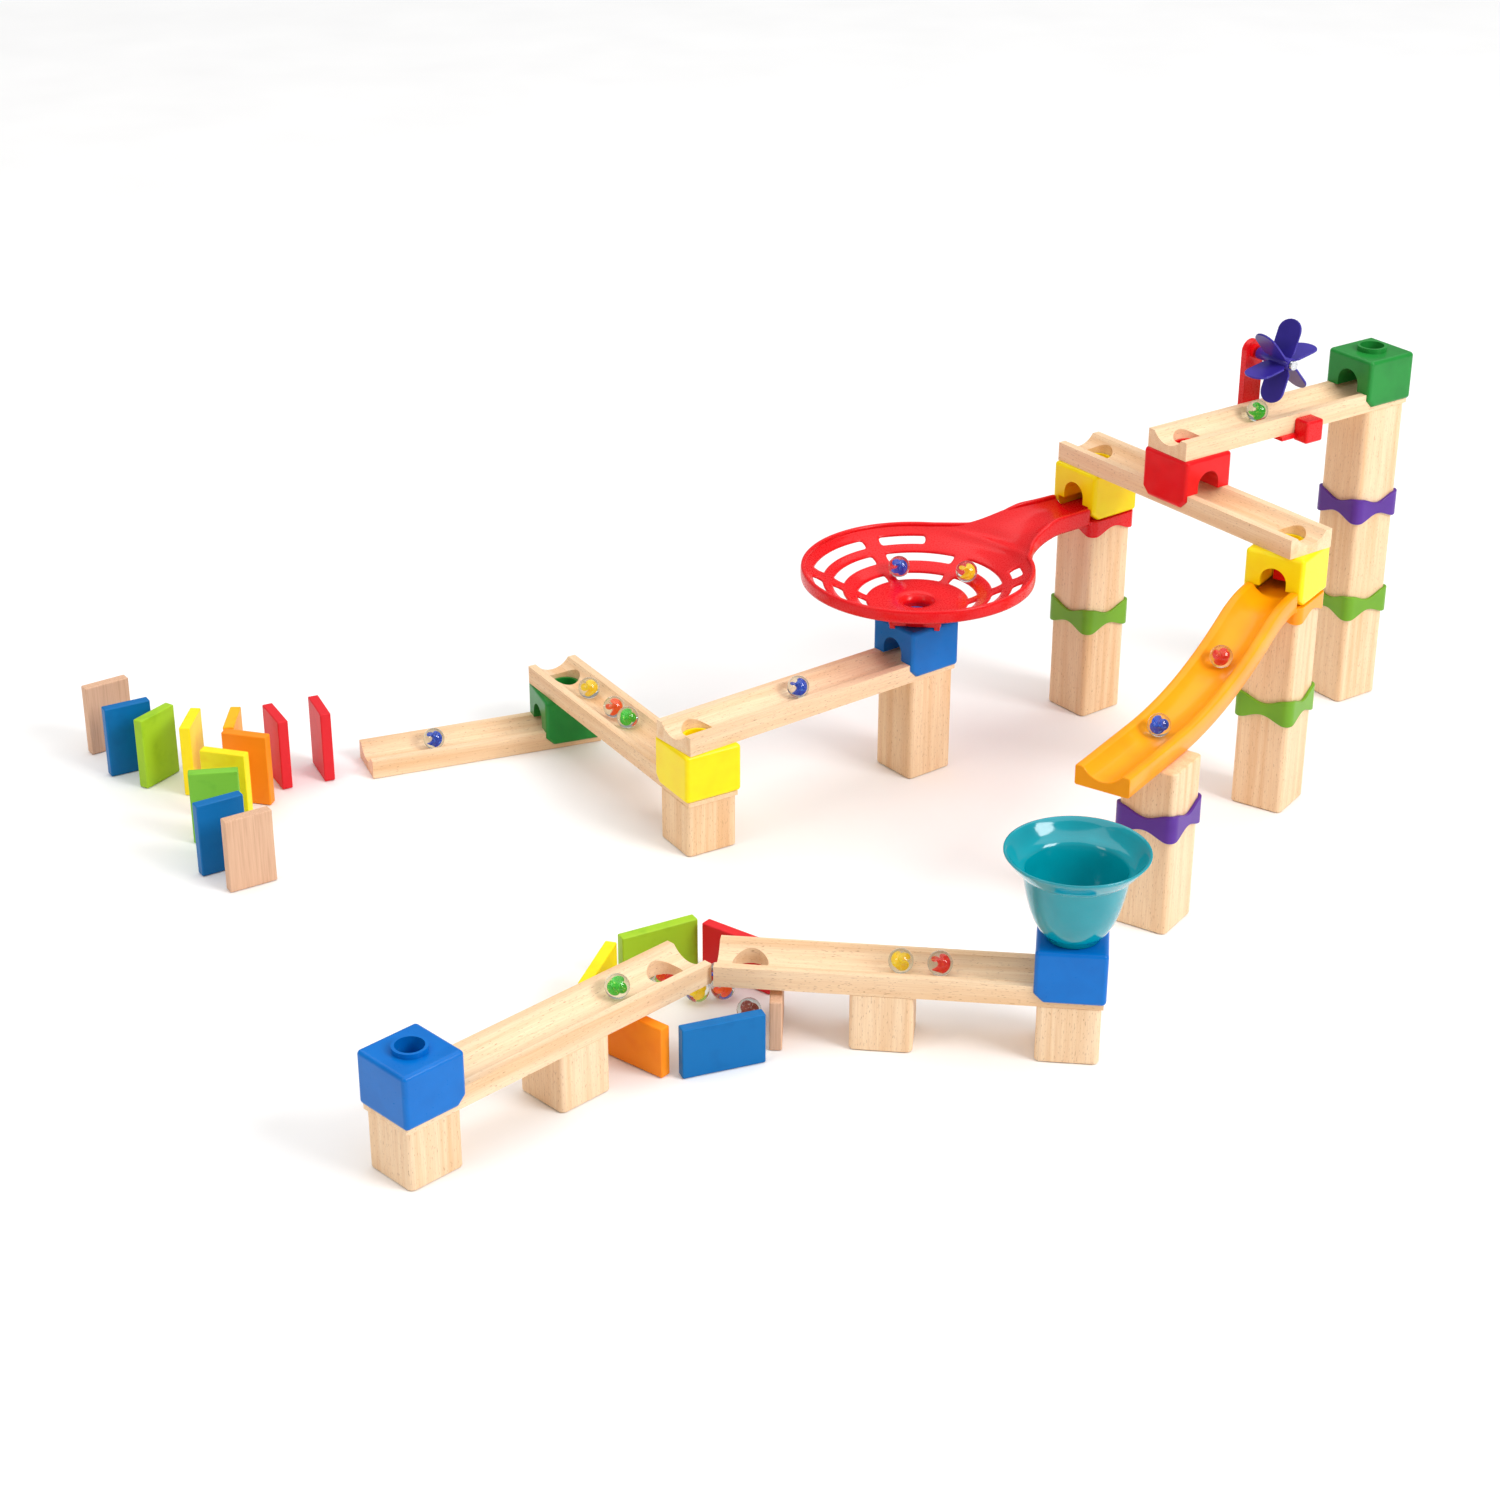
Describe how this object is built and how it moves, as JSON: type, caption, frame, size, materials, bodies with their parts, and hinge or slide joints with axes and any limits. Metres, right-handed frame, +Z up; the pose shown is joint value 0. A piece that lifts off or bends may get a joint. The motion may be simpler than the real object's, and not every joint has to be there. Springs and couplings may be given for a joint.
{
  "type": "marble run",
  "caption": "Wooden block marble run with grooved rails on posts, a spiral bowl, a slide, a funnel, a paddle wheel, a line of dominoes and a domino pen.",
  "frame": {"origin": "on the floor, under the middle of the whole layout's box", "axes": "+Z up, +X along the layout's long side, to the right as the layout is viewed, and +Y away from the viewer"},
  "size_m": [0.997, 0.7199, 0.3228],
  "materials": {
    "beech": "clear lacquer",
    "green_lacquer": "gloss",
    "red_lacquer": "gloss",
    "yellow_lacquer": "gloss",
    "blue_lacquer": "gloss",
    "red_plastic": "gloss",
    "orange_plastic": "gloss",
    "teal_plastic": "gloss",
    "lime_plastic": "satin",
    "purple_plastic": "satin",
    "indigo_plastic": "gloss",
    "steel": "polished",
    "marble_glass": "clear",
    "domino_red": "painted wood",
    "domino_amber": "painted wood",
    "domino_yellow": "painted wood",
    "domino_lime": "painted wood",
    "domino_blue": "painted wood",
    "domino_orange": "painted wood",
    "domino_green": "painted wood",
    "domino_natural": "bare"
  },
  "bodies": {
    "set": {"tower_a_post_low": "beech", "tower_a_post_middle": "beech", "tower_a_post_top": "beech", "tower_b_post_low": "beech", "tower_b_post_top": "beech", "tower_c_post_low": "beech", "tower_c_post_top": "beech", "slide_post_low": "beech", "slide_post_top": "beech", "bowl_post": "beech", "corner_post": "beech", "start_posts": "beech", "prop_posts": "beech", "green_collars": "lime_plastic", "purple_collars": "purple_plastic", "rail_1_windmill": "beech", "rail_2_crossing": "beech", "rail_3_bowl_exit": "beech", "rail_4_return": "beech", "rail_5_floor": "beech", "rail_6_pen_right": "beech", "rail_7_pen_left": "beech", "green_block_a": "green_lacquer", "red_block": "red_lacquer", "yellow_block_b": "yellow_lacquer", "yellow_block_c": "yellow_lacquer", "blue_block_d": "blue_lacquer", "yellow_block_e": "yellow_lacquer", "green_block_f": "green_lacquer", "blue_block_g": "blue_lacquer", "blue_block_h": "blue_lacquer", "red_ramps": "red_plastic", "red_spiral_bowl": "red_plastic", "orange_slide": "orange_plastic", "teal_funnel": "teal_plastic", "windmill_bracket": "red_plastic", "windmill_axle": "steel", "pen_dominoes": "domino_lime"},
    "spinner": {"windmill_spinner": "indigo_plastic"},
    "domino_01_red": {"domino_01_red": "domino_red"},
    "domino_02_red": {"domino_02_red": "domino_red"},
    "domino_03_amber": {"domino_03_amber": "domino_amber"},
    "domino_04_yellow": {"domino_04_yellow": "domino_yellow"},
    "domino_05_lime": {"domino_05_lime": "domino_lime"},
    "domino_06_blue": {"domino_06_blue": "domino_blue"},
    "domino_07_natural": {"domino_07_natural": "domino_natural"},
    "domino_08_orange": {"domino_08_orange": "domino_orange"},
    "domino_09_yellow": {"domino_09_yellow": "domino_yellow"},
    "domino_10_green": {"domino_10_green": "domino_green"},
    "domino_11_blue": {"domino_11_blue": "domino_blue"},
    "domino_12_natural": {"domino_12_natural": "domino_natural"},
    "marble_rail_1": {"marble_rail_1": "marble_glass"},
    "marble_rail_3": {"marble_rail_3": "marble_glass"},
    "marbles_rail_4": {"marbles_rail_4": "marble_glass"},
    "marble_rail_5": {"marble_rail_5": "marble_glass"},
    "marbles_rail_6": {"marbles_rail_6": "marble_glass"},
    "marble_rail_7": {"marble_rail_7": "marble_glass"},
    "marbles_slide": {"marbles_slide": "marble_glass"},
    "marbles_bowl": {"marbles_bowl": "marble_glass"},
    "marbles_pen": {"marbles_pen": "marble_glass"}
  },
  "joints": [
    {"name": "spinner_turn", "type": "hinge", "parent": "set", "child": "spinner", "pos_m": [0.38482, 0.27194, 0.2926], "axis": [0.5693, -0.8221, 0], "continuous": true},
    {"name": "domino_01_red_fall", "type": "hinge", "parent": "set", "child": "domino_01_red", "pos_m": [-0.31958, 0.18154, 0], "axis": [0.3907, -0.9205, 0], "range_deg": [0, 25]},
    {"name": "domino_02_red_fall", "type": "hinge", "parent": "set", "child": "domino_02_red", "pos_m": [-0.35015, 0.16785, 0], "axis": [0.4617, -0.887, 0], "range_deg": [0, 17.5]},
    {"name": "domino_03_amber_fall", "type": "hinge", "parent": "set", "child": "domino_03_amber", "pos_m": [-0.3811, 0.163, 0], "axis": [0, -1, 0], "range_deg": [0, 22]},
    {"name": "domino_04_yellow_fall", "type": "hinge", "parent": "set", "child": "domino_04_yellow", "pos_m": [-0.41159, 0.16128, 0], "axis": [-0.0698, -0.9976, 0], "range_deg": [0, 16]},
    {"name": "domino_05_lime_fall", "type": "hinge", "parent": "set", "child": "domino_05_lime", "pos_m": [-0.43939, 0.17302, 0], "axis": [-0.5299, -0.848, 0], "range_deg": [0, 11.5]},
    {"name": "domino_06_blue_fall", "type": "hinge", "parent": "set", "child": "domino_06_blue", "pos_m": [-0.4614, 0.18916, 0], "axis": [-0.866, -0.5, 0], "range_deg": [0, 38.5]},
    {"name": "domino_07_natural_fall", "type": "hinge", "parent": "set", "child": "domino_07_natural", "pos_m": [-0.48475, 0.22674, 0], "axis": [-0.809, -0.5878, 0], "range_deg": [0, 90]},
    {"name": "domino_08_orange_fall", "type": "hinge", "parent": "set", "child": "domino_08_orange", "pos_m": [-0.36403, 0.13204, 0], "axis": [0.9659, -0.2588, 0], "range_deg": [0, 23.5]},
    {"name": "domino_09_yellow_fall", "type": "hinge", "parent": "set", "child": "domino_09_yellow", "pos_m": [-0.37487, 0.10285, 0], "axis": [0.9636, -0.2672, 0], "range_deg": [0, 17.5]},
    {"name": "domino_10_green_fall", "type": "hinge", "parent": "set", "child": "domino_10_green", "pos_m": [-0.37581, 0.07164, 0], "axis": [0.989, 0.1478, 0], "range_deg": [0, 31.5]},
    {"name": "domino_11_blue_fall", "type": "hinge", "parent": "set", "child": "domino_11_blue", "pos_m": [-0.36392, 0.02965, 0], "axis": [0.8387, 0.5446, 0], "range_deg": [0, 25]},
    {"name": "domino_12_natural_fall", "type": "hinge", "parent": "set", "child": "domino_12_natural", "pos_m": [-0.34055, 0.00643, 0], "axis": [0.8434, 0.5373, 0], "range_deg": [0, 90]},
    {"name": "marble_rail_1_roll", "type": "slide", "parent": "set", "child": "marble_rail_1", "axis": [-0.8221, -0.5693, 0], "range_m": [0, 0.0666]},
    {"name": "marble_rail_3_roll", "type": "slide", "parent": "set", "child": "marble_rail_3", "axis": [-0.7934, -0.6088, 0], "range_m": [-0.0793, 0.0897]},
    {"name": "marbles_rail_4_roll", "type": "slide", "parent": "set", "child": "marbles_rail_4", "axis": [-0.5195, 0.8545, 0], "range_m": [-0.071, 0.039]},
    {"name": "marble_rail_5_roll", "type": "slide", "parent": "set", "child": "marble_rail_5", "axis": [-0.9323, -0.3616, 0], "range_m": [-0.0734, 0.0436]},
    {"name": "marbles_rail_6_roll", "type": "slide", "parent": "set", "child": "marbles_rail_6", "axis": [-0.993, 0.1184, 0], "range_m": [-0.05, 0.0945]},
    {"name": "marble_rail_7_roll", "type": "slide", "parent": "set", "child": "marble_rail_7", "axis": [0.7133, 0.7009, 0], "range_m": [-0.129, 0.04]},
    {"name": "marbles_slide_roll", "type": "hinge", "parent": "set", "child": "marbles_slide", "pos_m": [0.26942, -0.02401, 0.4674], "axis": [-0.829, 0.5592, 0], "range_deg": [-8.2, 1.4]},
    {"name": "marbles_bowl_circle", "type": "hinge", "parent": "set", "child": "marbles_bowl", "pos_m": [0.12447, 0.19676, 0.12], "axis": [0, 0, 1], "continuous": true},
    {"name": "marbles_pen_roll", "type": "slide", "parent": "set", "child": "marbles_pen", "axis": [1, 0, 0], "range_m": [-0.004, 0.0015]}
  ]
}
